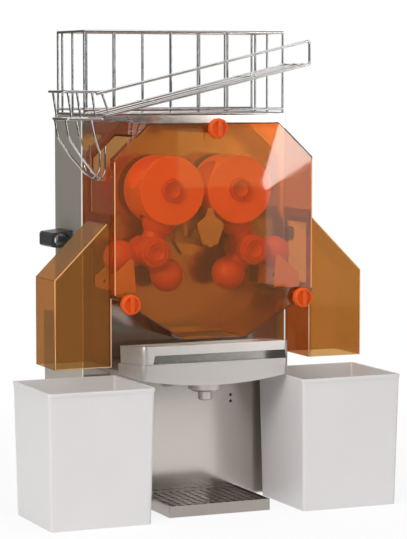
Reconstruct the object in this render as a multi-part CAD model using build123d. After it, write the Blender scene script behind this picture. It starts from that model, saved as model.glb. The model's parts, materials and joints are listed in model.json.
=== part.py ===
import os
from math import acos, atan2, cos, degrees, hypot, pi, radians, sin, sqrt, tan

from build123d import *

# Automatic orange juicer, millimetres. X to the right, front faces -Y, Z up.
# The tower's front face lies on Y = 0 and the machine stands on Z = 0.

# Driving sizes of the tower
TOWER_W = 400.0
TOWER_D = 138.0
TOWER_H = 700.0
REAR_REACH = 200.0
REAR_BOX_DROP = 362.0
FOOT_H = 8.0
FOOT_R = 14.0
FOOT_INSET = 30.0
SKIRT = 1.0
BASE_T = 4.0
SHEET = 2.0
FRONT_T = 3.0
CASE_T = 10.0
CASE_INSET = 35.0
GEAR_W = 18.0
GEAR_ROOM = 7.0
BEARING_R = 17.0
MOTOR_R = 48.0
MOTOR_LEN = 193.0
BUTTON_R = 11.0

# Driving sizes of the squeezing set
MODULE = 4.5
PAIR_TEETH = 29
MESH_TEETH = 25
PINION_TEETH = 18
ROTOR_OUT = 29.25
DRUM_DROP = 120.5
DRUM_NIP = 4.25
DRUM_LEN = 80.0
DRUM_BACK = 15.0
CUP_SET = 3.5
CUP_ROOM = 6.0
BALL_R = 30.0
SHAFT_R = 10.0
REST_TURN = 6.0
FIT = 0.05
GAP = 0.3

# Driving sizes of the clear cover, its knobs and the peel chutes
COVER_ROOM = 10.5
COVER_REACH = 135.0
COVER_DROP = 10.0
COVER_H = 380.0
COVER_T = 3.0
COVER_EDGE_R = 3.0
KNOB_R = 17.5
KNOB_T = 11.0
KNOB_RIM = 4.5
KNOB_NECK = 5.0
KNOB_NECK_R = 10.5
STUD_R = 4.0
CHUTE_W = 104.7
CHUTE_FRONT = 120.0
CHUTE_BACK = 22.0
CHUTE_HANG = 44.0
CHUTE_T = 2.5
CHUTE_EDGE_R = 2.0

# Driving sizes of the trays
TRAY_W = 284.0
TRAY_REACH = 140.0
TRAY_END_H = 27.5
TRAY_BELLY = 14.0
TRAY_CORNER_R = 10.0
TRAY_TILT = 4.4
HANGER_T = 28.0
DRAWER_DROP = 9.0
DRAWER_H = 31.2
DRAWER_BACK = 38.0
DRIP_W = 194.0
DRIP_REACH = 156.5
DRIP_H = 20.5

# Driving sizes of the wire hopper
WIRE_R = 2.5
POST_R = 2.0
WIRE_BEND = 6.0
HOPPER_H = 150.0
POST_COUNT = 8
RAMP_REACH = 112.0
RAMP_SLOPE = 0.23
RAMP_LIFT = 2.0
FENCE_H = 42.0
FUNNEL_W = 69.0

# Driving sizes of the peel bins
BIN_W = 196.5
BIN_D = 189.0
BIN_H = 237.0
BIN_IN = 139.5
BIN_BACK = 11.0
BIN_TAPER = 5.0
BIN_LIP = 1.0
BIN_CORNER_R = 7.0
BIN_T = 2.5

# Worked-out positions
HALF = TOWER_W / 2
REAR_BOX_H = TOWER_H - REAR_BOX_DROP
COVER_TOP = TOWER_H - COVER_DROP
COVER_BOTTOM = COVER_TOP - COVER_H
DRUM_Z = COVER_TOP - DRUM_DROP
DRUM_X = MODULE * PAIR_TEETH / 2
DRUM_R = DRUM_X - DRUM_NIP
MESH = MODULE * MESH_TEETH
CUP_ORBIT = DRUM_R - CUP_SET
CUP_R = BALL_R + CUP_ROOM
BALL_ORBIT = MESH - CUP_ORBIT
ROTOR_X = DRUM_X + ROTOR_OUT
ROTOR_Z = DRUM_Z - sqrt(MESH**2 - ROTOR_OUT**2)
DRUM_FRONT = DRUM_BACK + DRUM_LEN
MID_Y = -(DRUM_BACK + DRUM_LEN / 2)
PINION_MESH = MODULE * (MESH_TEETH + PINION_TEETH) / 2
PINION_X = -ROTOR_X + PINION_MESH * cos(radians(-60))
PINION_Z = ROTOR_Z + PINION_MESH * sin(radians(-60))
COVER_W = 2 * (ROTOR_X + BALL_ORBIT + BALL_R + COVER_ROOM)
DRAWER_TOP = COVER_BOTTOM - DRAWER_DROP
TRAY_TOP = DRAWER_TOP - DRAWER_H - GAP
HOPPER_TOP = TOWER_H + HOPPER_H
RAMP_LOW_Z = TOWER_H + RAMP_LIFT
CHUTE_BOTTOM = COVER_BOTTOM - CHUTE_HANG
SHAFTS = {
    "drum_left": (-DRUM_X, DRUM_Z),
    "drum_right": (DRUM_X, DRUM_Z),
    "rotor_left": (-ROTOR_X, ROTOR_Z),
    "rotor_right": (ROTOR_X, ROTOR_Z),
}

os.makedirs("parts", exist_ok=True)


def save(name, shape):
    export_step(shape, "parts/" + name + ".step")


def block(x0, x1, y0, y1, z0, z1):
    centre = Pos((x0 + x1) / 2, (y0 + y1) / 2, (z0 + z1) / 2)
    return centre * Box(x1 - x0, y1 - y0, z1 - z0)


def round_y(x, z, r, y0, y1):
    return Pos(x, (y0 + y1) / 2, z) * Rot(90, 0, 0) * Cylinder(r, y1 - y0)


def round_z(x, y, r, z0, z1):
    return Pos(x, y, (z0 + z1) / 2) * Cylinder(r, z1 - z0)


def round_x(y, z, r, x0, x1):
    return Pos((x0 + x1) / 2, y, z) * Rot(0, 90, 0) * Cylinder(r, x1 - x0)


def outline(points):
    return make_face(Polyline(*points, close=True))


def along_y(face, y0, y1):
    return extrude(Plane.XZ.offset(-y1) * face, amount=y1 - y0)


def along_x(face, x0, x1):
    return extrude(Plane.YZ.offset(x0) * face, amount=x1 - x0)


def rod(p, q, r):
    start = Vector(*p)
    run = Vector(*q) - start
    return extrude(Plane(origin=start, z_dir=run) * Circle(r), amount=run.length)


def bent_rod(points, r, bend):
    path = FilletPolyline(*points, radius=bend)
    return sweep(Plane(origin=path @ 0, z_dir=path % 0) * Circle(r), path=path)


def join(pieces):
    whole = pieces[0]
    for piece in pieces[1:]:
        whole = whole + piece
    return whole


def flip_x(shape):
    return mirror(shape, about=Plane.YZ)


# Tower: base, feet, front plate with cover studs, wrap, rear panel, motor cover
base_top = FOOT_H + BASE_T
base = block(-HALF + SHEET, HALF - SHEET, FRONT_T, REAR_REACH - SHEET, FOOT_H, base_top)
save("base_plate", base)

foot_x = HALF - FOOT_INSET
foot_set = []
for fx in (-foot_x, foot_x):
    for fy in (FOOT_INSET, REAR_REACH - FOOT_INSET):
        foot_set.append(round_z(fx, fy, FOOT_R, 0, FOOT_H))
save("feet", Compound(children=foot_set))

knob_x = COVER_W / 2 - 25.0
knob_low_z = COVER_BOTTOM + 67.0
knob_top_z = COVER_TOP - 10.0
KNOBS = {
    "knob_top": (0.0, knob_top_z),
    "knob_left": (-knob_x, knob_low_z),
    "knob_right": (knob_x, knob_low_z),
}
SCREW_HOLES_X = 90.0
SCREW_HOLES_Z = (176.0, 187.4)
SCREW_HOLE_R = 2.6
front = block(-HALF, HALF, 0, FRONT_T, SKIRT, TOWER_H)
front = fillet(front.edges().filter_by(Axis.Z).group_by(Axis.Y)[0], 1.5)
for sx, sz in SHAFTS.values():
    front = front - round_y(sx, sz, SHAFT_R + 2.0, -1, FRONT_T + 1)
for hz in SCREW_HOLES_Z:
    front = front - round_y(SCREW_HOLES_X, hz, SCREW_HOLE_R, -1, FRONT_T + 1)
knob_back = COVER_REACH + 2.0 + GAP
for kx, kz in KNOBS.values():
    front = front + round_y(kx, kz, STUD_R, -(knob_back + KNOB_NECK + 6.0), FRONT_T / 2)
save("front_plate", front)

button_y = TOWER_D / 2 + 1
BUTTONS = {"start_button": TOWER_H - 88.0, "stop_button": TOWER_H - 128.0}
BUTTON_ROOM = 0.4
wrap = block(-HALF, HALF, FRONT_T, TOWER_D, SKIRT, TOWER_H)
wrap = wrap - block(-HALF + SHEET, HALF - SHEET, 0, TOWER_D + 1, 0, TOWER_H - SHEET)
for bz in BUTTONS.values():
    wrap = wrap - round_x(button_y, bz, BUTTON_R + BUTTON_ROOM, HALF - 5, HALF + 5)
save("side_wrap", wrap)

rear = block(-HALF + SHEET, HALF - SHEET, TOWER_D - SHEET, TOWER_D, REAR_BOX_H, TOWER_H - SHEET)
save("rear_panel", rear)

box = block(-HALF, HALF, TOWER_D, REAR_REACH, FOOT_H, REAR_BOX_H)
box = box - block(-HALF + SHEET, HALF - SHEET, TOWER_D - 1, REAR_REACH - SHEET, 0, REAR_BOX_H - SHEET)
VENT_X = 70.0
VENT_H = 6.0
VENT_STEP = 18.0
for row in range(6):
    vent_z = REAR_BOX_H - 148.0 + VENT_STEP * row
    box = box - block(-VENT_X, VENT_X, REAR_REACH - 10, REAR_REACH + 5, vent_z, vent_z + VENT_H)
INLET = (HALF - 92.0, HALF - 58.0, FOOT_H + 50.0, FOOT_H + 78.0)
box = box - block(INLET[0], INLET[1], REAR_REACH - 10, REAR_REACH + 5, INLET[2], INLET[3])
save("motor_cover", box)

inlet = block(INLET[0], INLET[1], REAR_REACH - 28, REAR_REACH, INLET[2], INLET[3])
socket = block(INLET[0] + 4, INLET[1] - 4, REAR_REACH - 16, REAR_REACH + 1, INLET[2] + 4, INLET[3] - 4)
inlet = inlet - socket
inlet_x = (INLET[0] + INLET[1]) / 2
inlet_z = (INLET[2] + INLET[3]) / 2
for px, pz in ((inlet_x - 7, inlet_z - 2), (inlet_x + 7, inlet_z - 2), (inlet_x, inlet_z + 4)):
    inlet = inlet + block(px - 1, px + 1, REAR_REACH - 17, REAR_REACH - 4, pz - 2.5, pz + 2.5)
save("power_inlet", inlet)

# Gear case: two bearing plates, bearings, gearbox and motor
CASE_X = HALF - CASE_INSET
CASE_TOP = TOWER_H - 50.0
CASE_BOTTOM = PINION_Z - 52.0
CASE_FRONT = (FRONT_T, FRONT_T + CASE_T)
PLANE_A = (CASE_FRONT[1] + GEAR_ROOM, CASE_FRONT[1] + GEAR_ROOM + GEAR_W)
PLANE_B = (PLANE_A[1] + 10.0, PLANE_A[1] + 10.0 + GEAR_W)
CASE_REAR = (PLANE_B[1] + GEAR_W, PLANE_B[1] + GEAR_W + CASE_T)
plate_f = block(-CASE_X, CASE_X, CASE_FRONT[0], CASE_FRONT[1], CASE_BOTTOM, CASE_TOP)
plate_r = block(-CASE_X, CASE_X, CASE_REAR[0], CASE_REAR[1], CASE_BOTTOM, CASE_TOP)
bearing_set = []
for sx, sz in SHAFTS.values():
    plate_f = plate_f - round_y(sx, sz, BEARING_R, CASE_FRONT[0] - 1, CASE_FRONT[1] + 1)
    plate_r = plate_r - round_y(sx, sz, BEARING_R, CASE_REAR[0] - 1, CASE_REAR[1] + 1)
    for y0, y1 in (CASE_FRONT, CASE_REAR):
        ring = round_y(sx, sz, BEARING_R, y0, y1) - round_y(sx, sz, SHAFT_R + FIT, y0 - 1, y1 + 1)
        bearing_set.append(ring)
plate_r = plate_r - round_y(PINION_X, PINION_Z, SHAFT_R + 4.0, CASE_REAR[0] - 1, CASE_REAR[1] + 1)
post_x = CASE_X - 15.0
case_posts = [(-post_x, CASE_TOP - 10), (0.0, CASE_TOP - 10), (post_x, CASE_TOP - 10)]
case_posts += [(-post_x, CASE_BOTTOM + 13), (-PINION_X, CASE_BOTTOM + 13), (post_x, CASE_BOTTOM + 13)]
for px, pz in case_posts:
    plate_r = plate_r + round_y(px, pz, 8.0, CASE_FRONT[1], CASE_REAR[0] + 5)
save("bearing_plate_front", plate_f)
save("bearing_plate_rear", plate_r)
save("shaft_bearings", Compound(children=bearing_set))

box_low = PINION_Z - 62.0
box_back = TOWER_D - 4.0
gearbox = block(PINION_X - 85, PINION_X + 45, CASE_REAR[1], box_back, box_low, PINION_Z + 48)
gearbox = fillet(gearbox.edges().filter_by(Axis.Y), 8.0)
gearbox = gearbox - round_y(PINION_X, PINION_Z, SHAFT_R + FIT, CASE_REAR[1] - 1, box_back - 10)
save("gearbox", gearbox)

motor_x = PINION_X - 38.0
motor_y = (CASE_REAR[1] + box_back) / 2
motor_top = box_low - 12.0
motor_low = motor_top - MOTOR_LEN
motor = round_z(motor_x, motor_y, MOTOR_R, motor_low, motor_top)
fin = block(MOTOR_R - 2, MOTOR_R + 5, -1.5, 1.5, motor_low + 30, motor_top - 13)
for turn in range(12):
    motor = motor + Pos(motor_x, motor_y, 0) * Rot(0, 0, 30 * turn) * fin
motor = motor + round_z(motor_x, motor_y, 20.0, motor_top - 2, box_low)
motor = motor + round_z(motor_x, motor_y, MOTOR_R - 4, motor_low - 18, motor_low + 1)
save("motor", motor)

# Start and stop buttons in the right wall
switch_low = min(BUTTONS.values()) - 24.0
switch_high = max(BUTTONS.values()) + 24.0
switch = block(HALF - 28, HALF - SHEET, button_y - 22, button_y + 22, switch_low, switch_high)
for name, bz in BUTTONS.items():
    switch = switch - round_x(button_y, bz, BUTTON_R + BUTTON_ROOM, HALF - 14, HALF + 5)
    cap = round_x(button_y, bz, BUTTON_R, HALF - 9, HALF + 4)
    cap = fillet(cap.edges().sort_by(Axis.X)[-1], 1.5)
    save(name, cap)
save("switch_box", switch)

# Side handles: tapered loops of black plastic
HANDLE = (40.0, TOWER_D - 91.0, TOWER_D - 26.0, TOWER_H - 239.0, TOWER_H - 205.0)
handle = along_y(
    outline(
        [
            (-HALF, HANDLE[3]),
            (-HALF, HANDLE[4]),
            (-HALF - HANDLE[0] + 3, HANDLE[4] - 4),
            (-HALF - HANDLE[0], HANDLE[4] - 8),
            (-HALF - HANDLE[0], HANDLE[3] + 7),
            (-HALF - HANDLE[0] + 3, HANDLE[3] + 4),
        ]
    ),
    HANDLE[1],
    HANDLE[2],
)
hole_mid = (HANDLE[3] + HANDLE[4]) / 2
hole = Pos(-HALF - 19.0, (HANDLE[1] + HANDLE[2]) / 2, hole_mid)
hole = hole * Rot(90, 0, 0) * extrude(SlotOverall(30.0, 23.0), amount=60, both=True)
handle = handle - hole
save("handle_left", handle)
save("handle_right", flip_x(handle))

# Gears with involute teeth
PRESSURE = radians(20)
SLACK = 0.35


def inv(a):
    return tan(a) - a


def gear_face(teeth, first):
    rp = MODULE * teeth / 2
    rb = rp * cos(PRESSURE)
    tip = rp + 0.9 * MODULE
    root = rp - 1.2 * MODULE
    half = pi / (2 * teeth) - SLACK / (2 * rp)
    low = max(rb, root + 0.2)
    radii = [low + (tip - low) * k / 4 for k in range(5)]
    points = []
    for tooth in range(teeth):
        mid = radians(first) + 2 * pi * tooth / teeth
        side = []
        for r in radii:
            side.append((r, half + inv(PRESSURE) - inv(acos(min(1.0, rb / r)))))
        foot = (root, side[0][1])
        for r, a in [foot] + side:
            points.append((r * cos(mid - a), r * sin(mid - a)))
        for r, a in reversed([foot] + side):
            points.append((r * cos(mid + a), r * sin(mid + a)))
    return outline(points)


def gear(x, z, teeth, first, y0, y1):
    return along_y(Pos(x, z) * gear_face(teeth, first), y0, y1)


def mate(first, teeth, to_mate, mate_teeth):
    pitch = 360.0 / teeth
    mate_pitch = 360.0 / mate_teeth
    part = ((to_mate - first) / pitch) % 1.0
    return to_mate + 180.0 - mate_pitch * (0.5 - part)


down_left = degrees(atan2(ROTOR_Z - DRUM_Z, -ROTOR_OUT))
down_right = degrees(atan2(ROTOR_Z - DRUM_Z, ROTOR_OUT))
pair_left = 0.0
pair_right = mate(pair_left, PAIR_TEETH, 0.0, PAIR_TEETH)
rotor_first_left = mate(down_left, MESH_TEETH, down_left, MESH_TEETH)
rotor_first_right = mate(down_right, MESH_TEETH, down_right, MESH_TEETH)
pinion_first = mate(rotor_first_left, MESH_TEETH, -60.0, PINION_TEETH)

for side, dx, first_a, first_b in (
    ("left", -DRUM_X, pair_left, down_left),
    ("right", DRUM_X, pair_right, down_right),
):
    wheel = gear(dx, DRUM_Z, PAIR_TEETH, first_a, *PLANE_A)
    wheel = wheel + gear(dx, DRUM_Z, MESH_TEETH, first_b, *PLANE_B)
    wheel = wheel + round_y(dx, DRUM_Z, 22.0, PLANE_A[0] - 4, PLANE_B[1] + 4)
    wheel = wheel - round_y(dx, DRUM_Z, SHAFT_R, 0, CASE_REAR[1])
    save("drum_gear_" + side, wheel)

for side, rx, first in (("left", -ROTOR_X, rotor_first_left), ("right", ROTOR_X, rotor_first_right)):
    wheel = gear(rx, ROTOR_Z, MESH_TEETH, first, *PLANE_B)
    wheel = wheel + round_y(rx, ROTOR_Z, 22.0, PLANE_A[0] - 4, PLANE_B[1] + 4)
    wheel = wheel - round_y(rx, ROTOR_Z, SHAFT_R, 0, CASE_REAR[1])
    save("rotor_gear_" + side, wheel)

pinion = gear(PINION_X, PINION_Z, PINION_TEETH, pinion_first, *PLANE_B)
pinion = pinion + round_y(PINION_X, PINION_Z, 18.0, PLANE_B[0] - 3, PLANE_B[1] + 6)
pinion = pinion + round_y(PINION_X, PINION_Z, SHAFT_R, PLANE_B[1], box_back - 11)
save("drive_pinion", pinion)

# Shafts, drums with cups, rotors with balls, and their caps
for name, (sx, sz) in SHAFTS.items():
    axle_front = -DRUM_FRONT if name.startswith("drum") else -DRUM_FRONT + 3.0
    save(name.replace("_", "_shaft_"), round_y(sx, sz, SHAFT_R, axle_front, CASE_REAR[1] + 3))


CAP_R = 19.0


def cap_shape(x, z, r, y0):
    cap = round_y(x, z, r, y0 - 7.0, y0)
    ring = round_y(x, z, r - 3.0, y0 - 8.0, y0 - 5.0) - round_y(x, z, r - 6.0, y0 - 9.0, y0 - 4.0)
    cap = cap - ring
    return cap - Pos(x, y0 - 22.0, z) * Sphere(19.0)


def drum_shape(x, first):
    body = round_y(x, DRUM_Z, DRUM_R, -DRUM_FRONT, -DRUM_BACK)
    body = fillet(body.edges().sort_by(Axis.Y)[0], 2.0)
    groove = round_y(x, DRUM_Z, CAP_R + 2.2, -DRUM_FRONT - 1, -DRUM_FRONT + 2.5)
    body = body - (groove - round_y(x, DRUM_Z, CAP_R, -DRUM_FRONT - 1, -DRUM_FRONT + 3))
    body = body + round_y(x, DRUM_Z, 18.0, -DRUM_BACK, -4.0)
    for k in range(3):
        a = radians(first + 120 * k)
        body = body - Pos(x + CUP_ORBIT * cos(a), MID_Y, DRUM_Z + CUP_ORBIT * sin(a)) * Sphere(CUP_R)
    return body - round_y(x, DRUM_Z, SHAFT_R, -2 * DRUM_FRONT, 10)


def rotor_shape(x, first):
    body = round_y(x, ROTOR_Z, 27.0, -DRUM_FRONT + 3.0, -DRUM_BACK - 3.0)
    body = fillet(body.edges().sort_by(Axis.Y)[0], 2.0)
    body = body + round_y(x, ROTOR_Z, 18.0, -DRUM_BACK - 3.0, -4.0)
    for k in range(3):
        a = radians(first + 120 * k)
        ball_at = (x + BALL_ORBIT * cos(a), MID_Y, ROTOR_Z + BALL_ORBIT * sin(a))
        body = body + rod((x, MID_Y, ROTOR_Z), ball_at, 21.0)
        body = body + Pos(*ball_at) * Sphere(BALL_R)
    return body - round_y(x, ROTOR_Z, SHAFT_R, -2 * DRUM_FRONT, 10)


drum_left = drum_shape(-DRUM_X, down_left + REST_TURN)
rotor_left = rotor_shape(-ROTOR_X, down_left + 180.0 - REST_TURN)
save("drum_left", drum_left)
save("drum_right", flip_x(drum_left))
save("rotor_left", rotor_left)
save("rotor_right", flip_x(rotor_left))
drum_cap = cap_shape(-DRUM_X, DRUM_Z, CAP_R, -DRUM_FRONT)
rotor_cap = cap_shape(-ROTOR_X, ROTOR_Z, CAP_R + 1.0, -DRUM_FRONT + 3.0)
save("drum_cap_left", drum_cap)
save("drum_cap_right", flip_x(drum_cap))
save("rotor_cap_left", rotor_cap)
save("rotor_cap_right", flip_x(rotor_cap))

# Knife and its holder: a spade in front, a forked foot behind, a beam between
KNIFE_Z = DRUM_Z - 87.5
SPADE = (-DRUM_FRONT - 17.0, -DRUM_FRONT - 10.0)
beam = block(-5, 5, SPADE[0], 0, KNIFE_Z - 12, KNIFE_Z)
spade_half = [(4, 58), (9, 42), (25, 30), (25, 22), (14, -8)]
spade_rim = [(x, KNIFE_Z + z) for x, z in spade_half]
spade = along_y(outline(spade_rim + [(-x, z) for x, z in reversed(spade_rim)]), *SPADE)
fork_half = [(0, -16), (15, 15), (25.5, 15), (25.5, -8), (10, -32)]
fork_rim = [(x, KNIFE_Z + z) for x, z in fork_half]
fork = along_y(outline(fork_rim + [(-x, z) for x, z in reversed(fork_rim[1:])]), -10, 0)
save("knife_holder", beam + spade + fork)
edge = [(SPADE[1], 0), (SPADE[1], 46), (MID_Y, 64), (-10, 46), (-10, 0)]
blade = along_x(outline([(y, KNIFE_Z + z) for y, z in edge]), -0.75, 0.75)
save("knife_blade", blade)

# Peel ejectors beside the rotors
cw = COVER_W / 2
fin_rim = [(52, 138), (47, 141), (7, 107), (7, 83), (56, 83)]
fin_face = outline([(-cw + x, COVER_BOTTOM + z) for x, z in fin_rim])
fin_f = along_y(fin_face, -DRUM_FRONT + 2, -DRUM_FRONT + 6)
fin_b = along_y(fin_face, -DRUM_BACK - 9, -DRUM_BACK - 5)
floor_bar = block(-cw + 7, -cw + 33, -DRUM_FRONT + 2, 0, COVER_BOTTOM + 81.5, COVER_BOTTOM + 86.5)
ejector = fin_f + fin_b + floor_bar
ejector = ejector - round_y(-cw + 24, COVER_BOTTOM + 98, 3.0, -DRUM_BACK - 15, -DRUM_BACK)
save("ejector_left", ejector)
save("ejector_right", flip_x(ejector))

# Clear cover: an eight-sided tub with screw towers, feed and peel openings
CHAMFER_X = 66.0
CHAMFER_Z = 62.0
LOW_X = 128.0
LOW_Z = 78.0


def cover_ring(inset):
    k = inset
    d = inset * 0.42
    return [
        (-cw + CHAMFER_X + d, COVER_TOP - k),
        (cw - CHAMFER_X - d, COVER_TOP - k),
        (cw - k, COVER_TOP - CHAMFER_Z - d),
        (cw - k, COVER_BOTTOM + LOW_Z + 0.57 * k),
        (cw - LOW_X - 0.27 * k, COVER_BOTTOM + k),
        (-cw + LOW_X + 0.27 * k, COVER_BOTTOM + k),
        (-cw + k, COVER_BOTTOM + LOW_Z + 0.57 * k),
        (-cw + k, COVER_TOP - CHAMFER_Z - d),
    ]


cover_back = -GAP
outer = along_y(outline(cover_ring(0)), -COVER_REACH, cover_back)
outer = fillet(outer.edges().filter_by(Axis.Y), COVER_EDGE_R)
outer = fillet(outer.edges().group_by(Axis.Y)[0], COVER_EDGE_R)
inner = along_y(outline(cover_ring(COVER_T)), -COVER_REACH + COVER_T, 5)
cover = outer - inner
for kx, kz in KNOBS.values():
    cover = cover + round_y(kx, kz, 9.0, -COVER_REACH, cover_back)
pad_half = [(22, 0), (22, -26), (14, -38)]
pad_rim = [(x, COVER_TOP - COVER_EDGE_R + z) for x, z in pad_half]
pad = outline(pad_rim + [(-x, z) for x, z in reversed(pad_rim)])
pad = along_y(pad, -COVER_REACH - 2.0, -COVER_REACH + COVER_T)
cover = cover + pad
for kx in (-knob_x, knob_x):
    cover = cover + round_y(kx, knob_low_z, 15.0, -COVER_REACH - 2.0, -COVER_REACH + COVER_T)
for kx, kz in KNOBS.values():
    cover = cover - round_y(kx, kz, STUD_R + GAP, -COVER_REACH - 10, 5)
PEEL = (-CHUTE_FRONT + 6, -CHUTE_BACK - 6, COVER_BOTTOM + 90.0, COVER_BOTTOM + 198.0)
for x0, x1 in ((-cw - 5, -cw + 8), (cw - 8, cw + 5)):
    cover = cover - block(x0, x1, *PEEL)
RING_FRONT = -RAMP_REACH + 2 * WIRE_R
RING_BACK = -32.0
FEED = (RING_FRONT - 7.0, RING_BACK + 6.0, COVER_TOP - 102.0, COVER_TOP + 10.0)
cover = cover - block(-cw - 5, -cw + 44, *FEED)
juice_x = cw - LOW_X - 6.0
juice_y = (-COVER_REACH + 17.0, -DRAWER_BACK - 6.0)
cover = cover - block(-juice_x, juice_x, *juice_y, COVER_BOTTOM - 5, COVER_BOTTOM + 10)
save("cover", cover)

# Three turning knobs that hold the cover: a round rim, a dished face, a grip rib
for name, (kx, kz) in KNOBS.items():
    knob_face = -knob_back - KNOB_NECK - KNOB_T
    knob = round_y(kx, kz, KNOB_R, knob_face, knob_face + KNOB_T)
    knob = fillet(knob.edges().sort_by(Axis.Y)[0], KNOB_RIM - 0.7)
    knob = knob - round_y(kx, kz, KNOB_R - KNOB_RIM, knob_face - 1, knob_face + 3)
    rib_z = KNOB_R - KNOB_RIM + 1.0
    rib = block(kx - 3.5, kx + 3.5, knob_face - 2.5, knob_face + 5, kz - rib_z, kz + rib_z)
    rib = fillet(rib.edges().filter_by(Axis.Y), 3.0)
    knob = knob + rib + round_y(kx, kz, KNOB_NECK_R, knob_face + KNOB_T - 1, -knob_back)
    knob = knob - round_y(kx, kz, STUD_R + GAP, knob_face + KNOB_T - 7, -knob_back + 5)
    save(name, knob)

# Peel chutes on both sides of the cover
ct = CHUTE_T
wall_x = cw + GAP
CHUTE_OUT = wall_x + CHUTE_W
ROOF_IN = PEEL[3] + 9.0
ROOF_OUT = ROOF_IN - 96.0
chute_side = outline(
    [
        (-wall_x, CHUTE_BOTTOM),
        (-CHUTE_OUT, CHUTE_BOTTOM),
        (-CHUTE_OUT, ROOF_OUT),
        (-wall_x - 8, ROOF_IN),
        (-wall_x, ROOF_IN),
    ]
)
chute = along_y(chute_side, -CHUTE_FRONT, -CHUTE_BACK)
chute_rims = chute.edges().group_by(Axis.Y)
chute_rims = chute_rims[0] + chute_rims[-1]
chute_rims = [e for e in chute_rims if e.center().X < -wall_x - 10 and e.center().Z > CHUTE_BOTTOM + 10]
chute = fillet(chute_rims, CHUTE_EDGE_R)
roof_shift = ct * 1.4
hollow_side = outline(
    [
        (-wall_x - ct, CHUTE_BOTTOM - 5),
        (-CHUTE_OUT + ct, CHUTE_BOTTOM - 5),
        (-CHUTE_OUT + ct, ROOF_OUT - roof_shift + ct),
        (-wall_x - 8, ROOF_IN - roof_shift),
        (-wall_x - ct, ROOF_IN - roof_shift),
    ]
)
chute = chute - along_y(hollow_side, -CHUTE_FRONT + ct, -CHUTE_BACK - ct)
chute = chute - block(-wall_x - ct - 1, -wall_x + 5, PEEL[0], PEEL[1], PEEL[2], PEEL[3])
collar = block(-wall_x - 3, -wall_x, -CHUTE_FRONT - 4, -CHUTE_BACK + 4, ROOF_IN - 2, ROOF_IN + 15)
chute = chute + collar
save("chute_left", chute)
save("chute_right", flip_x(chute))

# Juice tray with its spout, pulp drawer with its strainer, and the hanger
tw = TRAY_W / 2
tray_back = HANGER_T + GAP
end_z = TRAY_TOP - TRAY_END_H
SPOUT_Y = -TRAY_REACH + 50.0


def tilted(shape):
    return Pos(0, -TRAY_REACH, TRAY_TOP) * Rot(-TRAY_TILT, 0, 0) * Pos(0, TRAY_REACH, -TRAY_TOP) * shape


def tray_face(side, low, top):
    arc = ThreePointArc((-side, low), (0, low - TRAY_BELLY), (side, low))
    top_line = Polyline((side, low), (side, top), (-side, top), (-side, low))
    return make_face([arc, top_line])


tray = along_y(tray_face(tw, end_z, TRAY_TOP), -TRAY_REACH, -tray_back)
tray = fillet(tray.edges().filter_by(Axis.Z).group_by(Axis.Y)[0], TRAY_CORNER_R)
NOZZLE_R = 13.0
FLANGE_R = 31.0
BORE_R = 9.0
belly_z = end_z - TRAY_BELLY
spout_low = belly_z - 32.5
spout_half = [
    (0, belly_z + 6),
    (FLANGE_R, belly_z + 6),
    (FLANGE_R, belly_z - 12),
    (FLANGE_R - 5, belly_z - 16),
    (NOZZLE_R, belly_z - 16),
    (NOZZLE_R, spout_low + 2),
    (NOZZLE_R - 2, spout_low),
    (0, spout_low),
]
spout = revolve(Plane.XZ * outline(spout_half), Axis.Z)
tray = tray + Pos(0, SPOUT_Y, 0) * spout
TRAY_T = 3.0
well = along_y(tray_face(tw - TRAY_T, end_z + 3.2, TRAY_TOP + 5), -TRAY_REACH + TRAY_T, -tray_back - TRAY_T)
well = fillet(well.edges().filter_by(Axis.Z).group_by(Axis.Y)[0], TRAY_CORNER_R - TRAY_T)
tray = tray - well
tray = tray - tilted(block(-tw - 5, tw + 5, -TRAY_REACH - 5, 20, TRAY_TOP, TRAY_TOP + 40))
tray = tray - round_z(0, SPOUT_Y, BORE_R, spout_low - 5, TRAY_TOP)
PIN_X = 85.0
PIN_Z = TRAY_TOP - 18.5
for px in (-PIN_X, PIN_X):
    tray = tray - round_y(px, PIN_Z, STUD_R + FIT, -tray_back - 4, 0)
save("juice_tray", tray)

hanger = block(-PIN_X - 25, PIN_X + 25, -HANGER_T, 0, PIN_Z - 11, PIN_Z + 11)
for px in (-PIN_X, PIN_X):
    hanger = hanger + round_y(px, PIN_Z, STUD_R, -HANGER_T - 12, -HANGER_T + 8)
save("tray_hanger", hanger)

drawer_low = TRAY_TOP + GAP
dw = tw - 0.5
DRAWER_WALL = 12.0
SIEVE_X = 97.0
SIEVE_FRONT = -TRAY_REACH + 24.0
SIEVE_BACK = -DRAWER_BACK - 13.0
drawer = block(-dw, dw, -TRAY_REACH - 2, -DRAWER_BACK, drawer_low, DRAWER_TOP)
drawer = fillet(drawer.edges().filter_by(Axis.Z).group_by(Axis.Y)[0], TRAY_CORNER_R)
inside = (-dw + DRAWER_WALL, dw - DRAWER_WALL, -TRAY_REACH + 9, -DRAWER_BACK - 3)
sieve_low = drawer_low + 3.2
drawer = drawer - block(*inside, sieve_low, DRAWER_TOP + 5)
drawer = drawer - block(-SIEVE_X, SIEVE_X, SIEVE_FRONT, SIEVE_BACK, drawer_low - 5, DRAWER_TOP)
grip_low = drawer_low - 1
grip_high = drawer_low + DRAWER_H * 0.48
grip = outline([(-dw + 20, grip_low), (dw - 6, grip_low), (dw - 8, grip_high), (-dw + 24, grip_high)])
drawer = drawer - along_y(grip, -TRAY_REACH - 5, -TRAY_REACH + 7)
save("pulp_drawer", tilted(drawer))

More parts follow.
